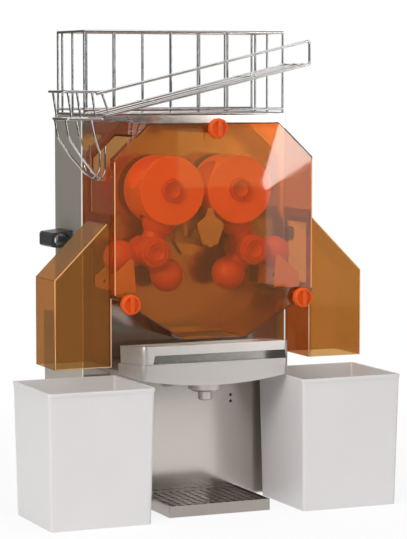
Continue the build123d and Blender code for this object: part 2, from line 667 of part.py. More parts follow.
sieve = block(-SIEVE_X - 9, SIEVE_X + 9, SIEVE_FRONT - 8, SIEVE_BACK + 8, sieve_low, sieve_low + 1.5)
hole_step = 12.0
columns = int(2 * SIEVE_X / hole_step)
rows = int((SIEVE_BACK - SIEVE_FRONT + 4) / hole_step)
sieve_holes = Sketch() + [spot * Circle(3.2) for spot in GridLocations(hole_step, hole_step, columns, rows)]
sieve_mid = (SIEVE_FRONT + SIEVE_BACK) / 2
sieve = sieve - extrude(Plane.XY.offset(sieve_low - 2) * Pos(0, sieve_mid) * sieve_holes, amount=6)
save("pulp_filter", tilted(sieve))

# Drip tray and its grid
gw = DRIP_W / 2
drip_back = -GAP
DRIP_WALL = 2.0
DRIP_LEDGE = 7.0
GRID_T = 1.8
grid_low = DRIP_H - 4.5
drip = block(-gw, gw, -DRIP_REACH, drip_back, 0, DRIP_H)
rim = (-gw + DRIP_WALL, gw - DRIP_WALL, -DRIP_REACH + DRIP_WALL, drip_back - DRIP_WALL)
well = (-gw + DRIP_LEDGE, gw - DRIP_LEDGE, -DRIP_REACH + DRIP_LEDGE, drip_back - DRIP_LEDGE)
drip = drip - block(*rim, grid_low - GAP, DRIP_H + 5)
drip = drip - block(*well, DRIP_WALL, DRIP_H)
save("drip_tray", drip)
grid = block(rim[0] + GAP, rim[1] - GAP, rim[2] + GAP, rim[3] - GAP, grid_low, grid_low + GRID_T)
grid_mid = (rim[2] + rim[3]) / 2
diamond = Rot(0, 0, 45) * Rectangle(9, 9)
hole_step = 15.0
columns = int((rim[1] - rim[0] - 4) / hole_step)
rows = int((rim[3] - rim[2] - 8) / hole_step)
grid_holes = Sketch() + [spot * diamond for spot in GridLocations(hole_step, hole_step, columns, rows)]
grid = grid - extrude(Plane.XY.offset(grid_low - 2) * Pos(0, grid_mid) * grid_holes, amount=8)
save("drip_grid", grid)

# Wire hopper: five welded panels
hx = HALF - 5.0
hopper_back = TOWER_D - 2.0
rail_z = TOWER_H + GAP + WIRE_R
second_z = rail_z + 8.0
post_step = 2 * (hx - 1.0) / (POST_COUNT - 1)


def wire_wall(y, x_end):
    pieces = [rod((-x_end, y, z), (x_end, y, z), WIRE_R) for z in (rail_z, second_z, HOPPER_TOP)]
    for k in range(POST_COUNT):
        px = -hx + 1.0 + post_step * k
        pieces.append(rod((px, y, rail_z), (px, y, HOPPER_TOP), POST_R))
    return join(pieces)


def wire_end(x):
    y0 = WIRE_R
    y1 = hopper_back - WIRE_R
    pieces = [rod((x, y0, z), (x, y1, z), WIRE_R) for z in (rail_z, HOPPER_TOP)]
    for part in (0.47, 0.86):
        py = hopper_back * part
        pieces.append(rod((x, py, rail_z), (x, py, HOPPER_TOP), POST_R))
    return join(pieces)


save("basket_front", wire_wall(0.0, hx))
save("basket_back", wire_wall(hopper_back, hx))
save("basket_left", wire_end(-hx + WIRE_R))
save("basket_right", wire_end(hx - WIRE_R))
mid_rail = hx - 3 * WIRE_R
floor_rods = [rod((-mid_rail, hopper_back / 2, rail_z), (mid_rail, hopper_back / 2, rail_z), WIRE_R)]
for k in range(1, POST_COUNT - 1):
    px = -hx + 1.0 + post_step * k + 12.0
    floor_rods.append(rod((px, WIRE_R, rail_z), (px, hopper_back - WIRE_R, rail_z), POST_R))
save("basket_floor", join(floor_rods))

# Sloping feed ramp in front of the hopper
ramp_l = -HALF + 2.0
ramp_r = HALF - 6.0
fy = -RAMP_REACH


def ramp_z(x):
    return RAMP_LOW_Z + RAMP_SLOPE * (x - ramp_l)


fence_low = [(ramp_l, fy, ramp_z(ramp_l)), (ramp_r, fy, ramp_z(ramp_r))]
fence_high = [(ramp_r, fy, ramp_z(ramp_r) + FENCE_H), (ramp_l - 16, fy, ramp_z(ramp_l - 16) + FENCE_H)]
fence = bent_rod(fence_low + fence_high, WIRE_R, WIRE_BEND)
post_foot = (ramp_l + 8, fy, ramp_z(ramp_l + 8))
post_head = (ramp_l - 6, fy, ramp_z(ramp_l - 6) + FENCE_H)
save("ramp_fence", fence + rod(post_foot, post_head, POST_R))

floor_set = []
for wy in (-88.0, -52.0, -16.0):
    floor_set.append(rod((ramp_l + 6, wy, ramp_z(ramp_l + 6)), (ramp_r, wy, ramp_z(ramp_r)), WIRE_R))
for k in range(5):
    cx = ramp_l + 10 + (ramp_r - ramp_l - 14) * k / 4
    floor_set.append(rod((cx, fy + WIRE_R, ramp_z(cx)), (cx, -WIRE_R, ramp_z(cx)), POST_R))
save("ramp_floor", join(floor_set))

# Wire funnel that leads the fruit from the ramp into the cover
RING_IN = ramp_l + 2.0
RING_OUT = RING_IN - FUNNEL_W
ring_z = TOWER_H - 3.0
high_z = ramp_z(ramp_l) + FENCE_H
HOOP_IN = -cw - 6.0
HOOP_OUT = HOOP_IN - 10.0
HOOP_BOTTOM = DRUM_Z + 19.5
hoop_mid = (RING_FRONT + RING_BACK) / 2
hoop_r = (RING_BACK - RING_FRONT) / 2
tight = hoop_r * 0.62


ring_mid = (RING_IN + RING_OUT) / 2
funnel = []
for ring_x in (RING_OUT, RING_IN):
    half_ring = [(ring_mid, RING_FRONT), (ring_x, RING_FRONT), (ring_x, RING_BACK), (ring_mid, RING_BACK)]
    funnel.append(bent_rod([(rx, ry, ring_z) for rx, ry in half_ring], WIRE_R, WIRE_BEND))
high_out = RING_OUT - 7.5
high_bow = [(ramp_l + 6, RING_FRONT), (high_out, RING_FRONT)]
high_bow += [(high_out, RING_BACK), (ramp_l - 17, RING_BACK)]
funnel.append(bent_rod([(rx, ry, high_z) for rx, ry in high_bow], WIRE_R, WIRE_BEND))
for py in (RING_FRONT, RING_BACK):
    funnel.append(rod((high_out + 8, py, high_z), (RING_OUT + 8, py, ring_z), POST_R))
    funnel.append(rod((ramp_l - 22, py, high_z), (RING_IN - 17, py, ring_z), POST_R))
for side in (-1, 1):
    funnel.append(
        bent_rod(
            [
                (RING_OUT, hoop_mid + side * (hoop_r - 10), ring_z),
                (RING_OUT + 6, hoop_mid + side * (hoop_r - 10), ring_z - 32),
                (RING_OUT + 29, hoop_mid + side * hoop_r * 0.72, ring_z - 66),
                (HOOP_OUT, hoop_mid + side * tight, HOOP_BOTTOM + 8),
                (HOOP_IN + 5, hoop_mid + side * tight, HOOP_BOTTOM + 5),
            ],
            POST_R,
            WIRE_BEND * 4,
        )
    )
bow = [(RING_IN - 26, RING_FRONT, ring_z), (RING_IN - 20, RING_FRONT, ring_z - 29)]
bow += [(HOOP_OUT, RING_FRONT, ring_z - 57)]
bow += [(HOOP_OUT, RING_FRONT, HOOP_BOTTOM + 16), (HOOP_OUT, hoop_mid, HOOP_BOTTOM + 4)]
bow += [(bx, RING_FRONT + RING_BACK - by, bz) for bx, by, bz in reversed(bow[:-1])]
funnel.append(bent_rod(bow, POST_R, WIRE_BEND * 3))
hoop = [(HOOP_IN, RING_FRONT, HOOP_BOTTOM + 61), (HOOP_IN, RING_FRONT, HOOP_BOTTOM + 12)]
hoop += [(HOOP_IN, hoop_mid, HOOP_BOTTOM)]
hoop += [(bx, RING_FRONT + RING_BACK - by, bz) for bx, by, bz in reversed(hoop[:-1])]
funnel.append(bent_rod(hoop, POST_R, WIRE_BEND * 3))
save("feed_funnel", join(funnel))

# Peel bins, tapered tubs with a small rim


def tub(x0, x1, y0, y1, low_in, z0, z1, r):
    cx = (x0 + x1) / 2
    cy = (y0 + y1) / 2
    low = Plane.XY.offset(z0) * Pos(cx, cy) * RectangleRounded(x1 - x0 - 2 * low_in, y1 - y0 - 2 * low_in, r)
    high = Plane.XY.offset(z1) * Pos(cx, cy) * RectangleRounded(x1 - x0, y1 - y0, r)
    return loft([low, high])


bin_back = -BIN_BACK
bin_front = -BIN_BACK - BIN_D
bx0 = -BIN_IN - BIN_W
bx1 = -BIN_IN
lip = BIN_LIP
wall = BIN_LIP + BIN_T
tub_r = BIN_CORNER_R - BIN_LIP
bin_left = tub(bx0 + lip, bx1 - lip, bin_front + lip, bin_back - lip, BIN_TAPER, 0, BIN_H - 1, tub_r)
rim_plan = Pos((bx0 + bx1) / 2, (bin_front + bin_back) / 2) * RectangleRounded(BIN_W, BIN_D, BIN_CORNER_R)
bin_left = bin_left + extrude(Plane.XY.offset(BIN_H - 6) * rim_plan, amount=6)
cavity_r = tub_r - BIN_T
cavity = tub(bx0 + wall, bx1 - wall, bin_front + wall, bin_back - wall, BIN_TAPER, BIN_T, BIN_H + 1, cavity_r)
bin_left = bin_left - cavity
save("bin_left", bin_left)
save("bin_right", flip_x(bin_left))
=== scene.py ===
import json
from math import cos, pi, radians, sin

import bmesh
import bpy
from mathutils import Matrix, Vector


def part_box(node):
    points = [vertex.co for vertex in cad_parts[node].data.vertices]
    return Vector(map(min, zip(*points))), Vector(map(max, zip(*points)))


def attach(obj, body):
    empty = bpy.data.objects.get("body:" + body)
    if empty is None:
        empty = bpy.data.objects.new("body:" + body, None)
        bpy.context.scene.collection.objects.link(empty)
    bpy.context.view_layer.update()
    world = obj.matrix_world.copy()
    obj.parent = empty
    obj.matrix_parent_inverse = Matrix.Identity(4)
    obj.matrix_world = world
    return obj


# Automatic orange juicer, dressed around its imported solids. Metres, front faces -Y, Z up.
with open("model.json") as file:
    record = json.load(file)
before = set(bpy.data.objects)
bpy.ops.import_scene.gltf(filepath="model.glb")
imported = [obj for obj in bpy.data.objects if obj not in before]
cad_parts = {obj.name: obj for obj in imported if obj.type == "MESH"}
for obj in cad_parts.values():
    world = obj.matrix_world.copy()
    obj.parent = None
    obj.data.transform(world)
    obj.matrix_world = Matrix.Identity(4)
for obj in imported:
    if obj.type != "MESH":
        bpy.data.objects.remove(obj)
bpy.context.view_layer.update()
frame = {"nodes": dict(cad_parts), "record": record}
nodes = frame["nodes"]

# Camera, worked out from straight edges of the machine in a 407 x 539 picture
CAMERA_AT = (-1.61884, -3.80734, 0.77377)
CAMERA_TURN = radians(23.49)
CAMERA_DROP = radians(4.87)
FOCAL_PIXELS = 2289.46
PICTURE_LONG_SIDE = 539
SENSOR = 36.0

# Linear colours of the plastics
COVER_AMBER = (0.78, 0.39, 0.14)
# Darker copy of the cover amber on its side walls: painted shade
WALL_AMBER_PAINTED_SHADE = (0.56, 0.21, 0.075)
CHUTE_AMBER = (0.61, 0.345, 0.125)
# Darker copy of the chute amber on its inner walls: painted shade
INNER_AMBER_PAINTED_SHADE = (0.46, 0.165, 0.06)
EJECTOR_AMBER = (0.68, 0.31, 0.09)
# Pale amber of the edge rods: painted highlight
EDGE_AMBER_PAINTED_HIGHLIGHT = (0.97, 0.66, 0.43)
ORANGE = (0.97, 0.205, 0.040)
# Darker copy of the drum orange for the rotors and caps: painted shade
ROTOR_ORANGE_SHADED = (0.66, 0.10, 0.035)
KNOB_ORANGE = (0.74, 0.093, 0.008)
BIN_WHITE = (0.74, 0.715, 0.715)
BLACK = (0.032, 0.034, 0.033)
RUBBER = (0.022, 0.022, 0.022)
MOTOR_BLUE = (0.05, 0.08, 0.13)
START_GREEN = (0.02, 0.30, 0.07)
STOP_RED = (0.55, 0.02, 0.015)

# Linear colours of the metals
STEEL = (0.56, 0.52, 0.48)
DRIP_STEEL = (0.37, 0.335, 0.305)
TOWER_STEEL = (0.72, 0.66, 0.56)
# Near-white finish of the corner rods: painted highlight
FOLD_HIGHLIGHT_STEEL = (0.95, 0.93, 0.90)
# Darker steel of the grip slot's lining: painted shade in the recess
GRIP_SHADE_STEEL = (0.40, 0.375, 0.35)
GRID_STEEL = (0.40, 0.355, 0.315)
WIRE_STEEL = (0.55, 0.535, 0.52)
SCREW_STEEL = (0.66, 0.64, 0.62)
SHAFT_STEEL = (0.66, 0.65, 0.64)
GEAR_STEEL = (0.36, 0.36, 0.37)
CASE_ALLOY = (0.62, 0.62, 0.63)
TRAY_GREY = (0.63, 0.59, 0.56)

# Grain and waviness of the surfaces, in waves per metre
FINE_UPRIGHT = (900, 900, 14)
FINE_LEVEL = (14, 900, 900)
WIRE_GRAIN = (300, 300, 300)
TRAY_GRAIN = (25, 25, 25)
GRID_GRAIN = (200, 200, 200)
CUT_GRAIN = (500, 500, 500)
PLASTIC_PORES = (900, 900, 900)
METAL_CLOUD = (7, 7, 5)
PLASTIC_CLOUD = (9, 9, 9)
AMBER_WAVE = (14, 14, 14)

# How finely each pattern is broken up, and the part of its range that is used
GRAIN_DETAIL = 6.0
PORE_DETAIL = 3.0
CLOUD_DETAIL = 3.0
WAVE_DETAIL = 2.0
PATTERN_SPAN = (0.3, 0.7)

# Change of colour and roughness over a surface, and the depth of its grain
CLOUD_CHANGE = 0.04
METAL_ROUGH_CHANGE = (-0.02, 0.03)
PLASTIC_ROUGH_CHANGE = (-0.05, 0.06)
GRAIN_DEPTH = 0.000004
PORE_DEPTH = 0.00004

# Clear amber sheet, and the rays that pass it as they pass a thin film
AMBER_IOR = 1.49
AMBER_ROUGH = (0.01, 0.04)
SHADOW_RAYS = ("Is Shadow Ray",)
SOFT_RAYS = ("Is Shadow Ray", "Is Diffuse Ray")

# Distance from the middle of the machine within which the amber walls take a darker colour as painted
# shade, and the run of the change
COVER_WALLS = 0.1318
CHUTE_WALLS = 0.1965
PAINTED_SHADE_RUN = 0.003

# Node helpers


def feed(tree, socket, value):
    if isinstance(value, bpy.types.NodeSocket):
        tree.links.new(value, socket)
    else:
        socket.default_value = value


def new_material(name):
    mat = bpy.data.materials.new(name)
    mat.use_nodes = True
    tree = mat.node_tree
    shader = tree.nodes["Principled BSDF"]
    return mat, tree, shader


def maths(tree, operation, *values, clamp=False):
    node = tree.nodes.new("ShaderNodeMath")
    node.operation = operation
    node.use_clamp = clamp
    for socket, value in zip(node.inputs, values):
        feed(tree, socket, value)
    return node.outputs["Value"]


def map_range(tree, value, start, end, low=0.0, high=1.0, smooth=False):
    node = tree.nodes.new("ShaderNodeMapRange")
    node.interpolation_type = "SMOOTHSTEP" if smooth else "LINEAR"
    feed(tree, node.inputs["Value"], value)
    feed(tree, node.inputs["From Min"], start)
    feed(tree, node.inputs["From Max"], end)
    feed(tree, node.inputs["To Min"], low)
    feed(tree, node.inputs["To Max"], high)
    return node.outputs["Result"]


def blend(tree, factor, low, high, kind="FLOAT"):
    mix = tree.nodes.new("ShaderNodeMix")
    mix.data_type = kind
    feed(tree, mix.inputs["Factor"], factor)
    feed(tree, mix.inputs["A"], low)
    feed(tree, mix.inputs["B"], high)
    return mix.outputs["Result"]


def two_surfaces(tree, share, first, second):
    mix = tree.nodes.new("ShaderNodeMixShader")
    tree.links.new(share, mix.inputs["Fac"])
    tree.links.new(first, mix.inputs[1])
    tree.links.new(second, mix.inputs[2])
    tree.links.new(mix.outputs["Shader"], tree.nodes["Material Output"].inputs["Surface"])


def light_path(tree, *kinds):
    path = tree.nodes.new("ShaderNodeLightPath").outputs
    seen = path[kinds[0]]
    for other in kinds[1:]:
        seen = maths(tree, "MAXIMUM", seen, path[other])
    return seen


def coordinates(tree, scale):
    place = tree.nodes.new("ShaderNodeTexCoord")
    mapping = tree.nodes.new("ShaderNodeMapping")
    mapping.inputs["Scale"].default_value = scale
    tree.links.new(place.outputs["Object"], mapping.inputs["Vector"])
    return mapping.outputs["Vector"]


def noise(tree, scale, detail):
    texture = tree.nodes.new("ShaderNodeTexNoise")
    texture.inputs["Scale"].default_value = 1.0
    texture.inputs["Detail"].default_value = detail
    tree.links.new(coordinates(tree, scale), texture.inputs["Vector"])
    return texture.outputs["Fac"]


def spread(tree, source, low, high):
    return map_range(tree, source, *PATTERN_SPAN, low, high)


def tint(tree, source, colour):
    darker = [c * (1 - CLOUD_CHANGE) for c in colour]
    lighter = [min(1, c * (1 + CLOUD_CHANGE)) for c in colour]
    return blend(tree, source, (*darker, 1), (*lighter, 1), "RGBA")


# Painted shade: blends to the darker amber where a wall lies nearer the machine's middle than the edge
# distance
def painted_wall_shade(tree, colour, painted_shade_colour, axis, edge):
    place = tree.nodes.new("ShaderNodeSeparateXYZ")
    tree.links.new(coordinates(tree, (1, 1, 1)), place.inputs["Vector"])
    off_middle = maths(tree, "ABSOLUTE", place.outputs[axis])
    painted_shade_share = map_range(tree, off_middle, edge, edge - PAINTED_SHADE_RUN)
    return blend(tree, painted_shade_share, (*colour, 1), (*painted_shade_colour, 1), "RGBA")


def bump(tree, shader, source, depth):
    node = tree.nodes.new("ShaderNodeBump")
    node.inputs["Strength"].default_value = 1.0
    node.inputs["Distance"].default_value = depth
    tree.links.new(source, node.inputs["Height"])
    tree.links.new(node.outputs["Normal"], shader.inputs["Normal"])


# Materials


def brushed_metal(name, colour, rough, grain, depth=GRAIN_DEPTH, metal=1.0):
    mat, tree, shader = new_material(name)
    shader.inputs["Metallic"].default_value = metal
    lines = noise(tree, grain, GRAIN_DETAIL)
    cloud = noise(tree, METAL_CLOUD, CLOUD_DETAIL)
    low, high = [rough + change for change in METAL_ROUGH_CHANGE]
    tree.links.new(tint(tree, cloud, colour), shader.inputs["Base Color"])
    tree.links.new(spread(tree, lines, low, high), shader.inputs["Roughness"])
    bump(tree, shader, lines, depth)
    return mat


def smooth_plastic(name, colour, rough, depth=PORE_DEPTH, gloss=0.5):
    mat, tree, shader = new_material(name)
    shader.inputs["Specular IOR Level"].default_value = gloss
    pores = noise(tree, PLASTIC_PORES, PORE_DETAIL)
    cloud = noise(tree, PLASTIC_CLOUD, CLOUD_DETAIL)
    low, high = [rough + change for change in PLASTIC_ROUGH_CHANGE]
    tree.links.new(tint(tree, cloud, colour), shader.inputs["Base Color"])
    tree.links.new(spread(tree, pores, low, high), shader.inputs["Roughness"])
    bump(tree, shader, pores, depth)
    return mat


def clear_amber(name, colour, painted_shade_colour, axis, edge, clear, mirrored, shade, film_rays):
    mat, tree, shader = new_material(name)
    tree.links.new(painted_wall_shade(tree, colour, painted_shade_colour, axis, edge), shader.inputs["Base Color"])
    shader.inputs["Transmission Weight"].default_value = clear
    shader.inputs["IOR"].default_value = AMBER_IOR
    shader.inputs["Specular Tint"].default_value = (*mirrored, 1)
    wave = noise(tree, AMBER_WAVE, WAVE_DETAIL)
    tree.links.new(spread(tree, wave, *AMBER_ROUGH), shader.inputs["Roughness"])
    film = tree.nodes.new("ShaderNodeBsdfTransparent")
    film.inputs["Color"].default_value = (*[c**shade for c in colour], 1)
    through = light_path(tree, *film_rays)
    two_surfaces(tree, through, shader.outputs["BSDF"], film.outputs["BSDF"])
    return mat


cover_amber = clear_amber(
    "cover_amber",
    COVER_AMBER,
    WALL_AMBER_PAINTED_SHADE,
    axis="Y",
    edge=COVER_WALLS,
    clear=0.96,
    mirrored=(1, 1, 1),
    shade=0.08,
    film_rays=SHADOW_RAYS,
)
chute_amber = clear_amber(
    "chute_amber",
    CHUTE_AMBER,
    INNER_AMBER_PAINTED_SHADE,
    axis="X",
    edge=CHUTE_WALLS,
    clear=0.9,
    mirrored=(0.42, 0.26, 0.11),
    shade=0.03,
    film_rays=SOFT_RAYS,
)

# Finish of each material slot: name, colour, roughness and, on metal, the grain
FINISHES = {
    "stainless": brushed_metal("brushed_stainless", STEEL, 0.23, FINE_UPRIGHT),
    "tower_grey": brushed_metal("dull_stainless", TOWER_STEEL, 0.36, FINE_UPRIGHT, metal=0.8),
    "chrome_wire": brushed_metal("plated_wire", WIRE_STEEL, 0.14, WIRE_GRAIN, depth=0.00001),
    "amber_clear": cover_amber,
    "amber_solid": smooth_plastic("ejector_plastic", EJECTOR_AMBER, 0.34),
    "drum_red": smooth_plastic("drum_plastic", ORANGE, 0.36),
    "knob_orange": smooth_plastic("knob_plastic", KNOB_ORANGE, 0.34, gloss=0.25),
    "white_plastic": smooth_plastic("bin_plastic", BIN_WHITE, 0.42, depth=0.00006),
    "tray_grey": brushed_metal("satin_tray", TRAY_GREY, 0.33, TRAY_GRAIN, depth=0.0000005, metal=0.55),
    "black_plastic": smooth_plastic("black_plastic", BLACK, 0.38, depth=0.00008),
    "dark_mesh": brushed_metal("dark_grid", GRID_STEEL, 0.32, GRID_GRAIN),
    "bright_steel": brushed_metal("ground_steel", SHAFT_STEEL, 0.22, FINE_LEVEL),
    "gear_steel": brushed_metal("machined_steel", GEAR_STEEL, 0.34, CUT_GRAIN),
    "case_alloy": brushed_metal("machined_alloy", CASE_ALLOY, 0.36, FINE_LEVEL),
    "motor_paint": smooth_plastic("motor_paint", MOTOR_BLUE, 0.45, depth=0.0001),
    "foot_rubber": smooth_plastic("foot_rubber", RUBBER, 0.7, depth=0.0002),
    "start_green": smooth_plastic("start_plastic", START_GREEN, 0.3),
    "stop_red": smooth_plastic("stop_plastic", STOP_RED, 0.3),
}
for entry in frame["record"]["subparts"]:
    nodes[entry["node"]].material_slots[0].material = FINISHES[entry["material_slot"]]

# Pieces whose finish differs from the rest of their slot
ROTORS = ("rotor_left", "rotor_right")
CAPS = tuple(f"{kind}_cap_{side}" for kind in ("drum", "rotor") for side in ("left", "right"))
VARIANTS = {
    chute_amber: ("chute_left", "chute_right"),
    # Rotors and caps take a darker copy of the drum plastic as painted shade
    smooth_plastic("rotor_plastic_shaded", ROTOR_ORANGE_SHADED, 0.36): ROTORS + CAPS,
    brushed_metal("drip_steel", DRIP_STEEL, 0.22, FINE_LEVEL): ("drip_tray",),
    brushed_metal("plate_steel", STEEL, 0.16, FINE_UPRIGHT): ("front_plate",),
}
for mat, names in VARIANTS.items():
    for name in names:
        nodes[name].material_slots[0].material = mat

# Softened edges of sheet metal and plastic
SHEET_EDGE = 0.001
BIN_EDGE = 0.0012
SEAM = 0.00002
EDGE_STEPS = 3
EDGE_ANGLE = radians(40)


def soften(width, names):
    for name in names:
        weld = nodes[name].modifiers.new("weld", "WELD")
        weld.merge_threshold = SEAM
        bevel = nodes[name].modifiers.new("soft_edges", "BEVEL")
        bevel.width = width
        bevel.segments = EDGE_STEPS
        bevel.limit_method = "ANGLE"
        bevel.angle_limit = EDGE_ANGLE
        bevel.harden_normals = True


soften(SHEET_EDGE, ("front_plate", "side_wrap", "motor_cover", "drip_tray", "pulp_drawer", "juice_tray"))
soften(BIN_EDGE, ("bin_left", "bin_right"))

# Helpers for the added pieces
LOOP_STEPS = 24
ROD_ROUNDNESS = 2
MERGE_GAP = 0.00001
SHARP_ANGLE = radians(35)

# Screw head from the rim inward: share of the radius, share of the height, six-sided or round
SCREW_HEAD = (
    (1.0, 0.0, False),
    (1.0, 0.5, False),
    (0.86, 0.85, False),
    (0.62, 1.0, False),
    (0.42, 1.0, True),
    (0.42, 0.3, True),
)


def new_piece(name, data, mat, body):
    piece = bpy.data.objects.new(name, data)
    bpy.context.scene.collection.objects.link(piece)
    data.materials.append(mat)
    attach(piece, body)


def rod(name, paths, radius, mat, body, closed=False):
    curve = bpy.data.curves.new(name, "CURVE")
    curve.dimensions = "3D"
    curve.bevel_depth = radius
    curve.bevel_resolution = ROD_ROUNDNESS
    curve.use_fill_caps = True
    for path in paths:
        spline = curve.splines.new("POLY")
        spline.points.add(len(path) - 1)
        for point, at in zip(spline.points, path):
            point.co = (*at, 1)
        spline.use_cyclic_u = closed
    new_piece(name, curve, mat, body)


def lofted(bm, loops, capped):
    rings = [[bm.verts.new(spot) for spot in loop] for loop in loops]
    for low, high in zip(rings, rings[1:]):
        for k in range(len(low)):
            bm.faces.new((low[k - 1], low[k], high[k], high[k - 1]))
    if capped:
        bm.faces.new(rings[0])
        bm.faces.new(rings[-1])


def circle(place, radius, height, six=False):
    loop = []
    for k in range(LOOP_STEPS):
        angle = 2 * pi * k / LOOP_STEPS
        reach = radius * cos(pi / 6) / cos(angle % (pi / 3) - pi / 6) if six else radius
        loop.append(place @ Vector((reach * cos(angle), reach * sin(angle), height)))
    return loop


def rounded(place, half_x, half_y, corner, height):
    corner_steps = LOOP_STEPS // 4
    loop = []
    for k in range(LOOP_STEPS):
        quarter, step = divmod(k, corner_steps)
        angle = (quarter + step / (corner_steps - 1)) * pi / 2
        mid_x = (half_x - corner) * (1 if quarter in (0, 3) else -1)
        mid_y = (half_y - corner) * (1 if quarter in (0, 1) else -1)
        loop.append(place @ Vector((mid_x + corner * cos(angle), mid_y + corner * sin(angle), height)))
    return loop


def mesh_piece(name, bm, mat, body):
    bmesh.ops.remove_doubles(bm, verts=bm.verts, dist=MERGE_GAP)
    bmesh.ops.recalc_face_normals(bm, faces=bm.faces)
    mesh = bpy.data.meshes.new(name)
    bm.to_mesh(mesh)
    bm.free()
    mesh.shade_smooth()
    mesh.set_sharp_from_angle(angle=SHARP_ANGLE)
    new_piece(name, mesh, mat, body)


def screws(name, places, radius, height, mat):
    bm = bmesh.new()
    for place in places:
        head = [circle(place, wide * radius, rise * height, six) for wide, rise, six in SCREW_HEAD]
        lofted(bm, head, True)
    mesh_piece(name, bm, mat, "frame")


# Socket screws of the rear panel and the motor cover
BACK_TURN = Matrix.Rotation(-pi / 2, 4, "X")
REAR_Y = 0.138
REAR_SCREW_X = (-0.184, 0, 0.184)
REAR_SCREW_Z = (0.352, 0.684)
BOX_Y = 0.200
BOX_SCREW_X = (-0.186, 0.186)
BOX_SCREW_Z = (0.024, 0.122, 0.220, 0.318)
SCREW_R = 0.0042
SCREW_H = 0.0014
screw_steel = brushed_metal("screw_steel", SCREW_STEEL, 0.22, CUT_GRAIN)
spots = [(x, REAR_Y, z) for x in REAR_SCREW_X for z in REAR_SCREW_Z]
spots += [(x, BOX_Y, z) for x in BOX_SCREW_X for z in BOX_SCREW_Z]
screws("rear_screws", [Matrix.Translation(at) @ BACK_TURN for at in spots], SCREW_R, SCREW_H, screw_steel)

# Rims of the vents in the motor cover
BOX_TOP = 0.338
VENT_ROWS = 6
VENT_LOW = BOX_TOP - 0.145
VENT_PITCH = 0.018
VENT_HALF = (0.0704, 0.0034)
VENT_CORNER = 0.0006
VENT_RIM_R = 0.0007
vents = []
for row in range(VENT_ROWS):
    vent = Matrix.Translation((0, BOX_Y, VENT_LOW + VENT_PITCH * row)) @ BACK_TURN
    vents.append(rounded(vent, *VENT_HALF, VENT_CORNER, 0))
rod("vent_rims", vents, VENT_RIM_R, FINISHES["tower_grey"], "frame", closed=True)

# Flange of the power inlet: half width, half height, corner and rise of each loop, then its two screws
INLET_AT = (0.125, BOX_Y, 0.072)
FLANGE = (
    (0.027, 0.018, 0.005, 0),
    (0.0265, 0.0175, 0.0045, 0.0009),
    (0.0135, 0.0105, 0.0015, 0.0009),
    (0.013, 0.010, 0.001, 0),
)
LUG_X = 0.0205
LUG_RISE = 0.0008
LUG_R = 0.0026
LUG_H = 0.0007
inlet = Matrix.Translation(INLET_AT) @ BACK_TURN
flange = [rounded(inlet, *loop) for loop in FLANGE]
bm = bmesh.new()
lofted(bm, flange + flange[:1], False)
mesh_piece("inlet_flange", bm, FINISHES["black_plastic"], "frame")
lugs = [inlet @ Matrix.Translation((x, 0, LUG_RISE)) for x in (-LUG_X, LUG_X)]
screws("inlet_screws", lugs, LUG_R, LUG_H, screw_steel)

# Collars round the two push buttons on the right side: radius and rise of each loop
SIDE_X = 0.200
COLLAR = (
    (0.0115, 0),
    (0.0115, 0.0012),
    (0.0125, 0.002),
    (0.0142, 0.002),
    (0.015, 0.0008),
    (0.015, 0),
)
bm = bmesh.new()
for button in ("start_button", "stop_button"):
    low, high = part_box(button)
    middle = (Vector(low) + Vector(high)) / 2
    collar = Matrix.Translation((SIDE_X, middle.y, middle.z)) @ Matrix.Rotation(pi / 2, 4, "Y")
    loops = [circle(collar, radius, rise) for radius, rise in COLLAR]
    lofted(bm, loops + loops[:1], False)
mesh_piece("button_collars", bm, FINISHES["black_plastic"], "frame")

# Darker steel lining in the drawer's grip slot, painted shade for the recess, leaning as the drawer does
# and curved out at its right end
TRAY_PIVOT = Vector((0, -0.140, 0.2695))
DRAWER_LEAN = radians(-4.4)
DRAWER_LOW = 0.2698
SLOT_BACK = -0.13304
SLOT_Z = (DRAWER_LOW + 0.0004, DRAWER_LOW + 0.0143)
LINING_T = 0.0007
LINING_LEFT = (-0.1207, -0.1169)
LINING_RIGHT = 0.1329
BEND_FROM = 0.094
BEND_R = 0.098
BEND_STEPS = 9
BEND_PITCH = 0.005
tilt = Matrix.Rotation(DRAWER_LEAN, 4, "X")
lean = Matrix.Translation(TRAY_PIVOT) @ tilt @ Matrix.Translation(-TRAY_PIVOT)
sections = [(*LINING_LEFT, LINING_T)]
for step in range(BEND_STEPS):
    run = BEND_PITCH * step
    proud = LINING_T + BEND_R - (BEND_R**2 - run**2) ** 0.5
    sections.append((BEND_FROM + run, min(BEND_FROM + run, LINING_RIGHT), proud))
loops = []
for low_x, high_x, proud in sections:
    corner = [(low_x, 0, 0), (low_x, proud, 0), (high_x, proud, 1), (high_x, 0, 1)]
    loops.append([lean @ Vector((x, SLOT_BACK - y, SLOT_Z[z])) for x, y, z in corner])
bm = bmesh.new()
lofted(bm, loops, True)
grip_shade_steel = brushed_metal("grip_shade_steel", GRIP_SHADE_STEEL, 0.2, FINE_LEVEL)
mesh_piece("grip_shade_lining", bm, grip_shade_steel, "pulp_drawer")

# Rounded corners of the tower's sheet metal, near-white and barely metallic: a painted highlight along
# the corners
CORNER_X = 0.1986
CORNER_Y = 0.0014
CORNER_Z = (0.003, 0.6985)
CORNER_R = 0.0016
corners = [[(x, CORNER_Y, z) for z in CORNER_Z] for x in (-CORNER_X, CORNER_X)]
folded_highlight = brushed_metal("folded_corner_highlight", FOLD_HIGHLIGHT_STEEL, 0.35, FINE_UPRIGHT, metal=0.15)
rod("plate_corner_highlights", corners, CORNER_R, folded_highlight, "frame")

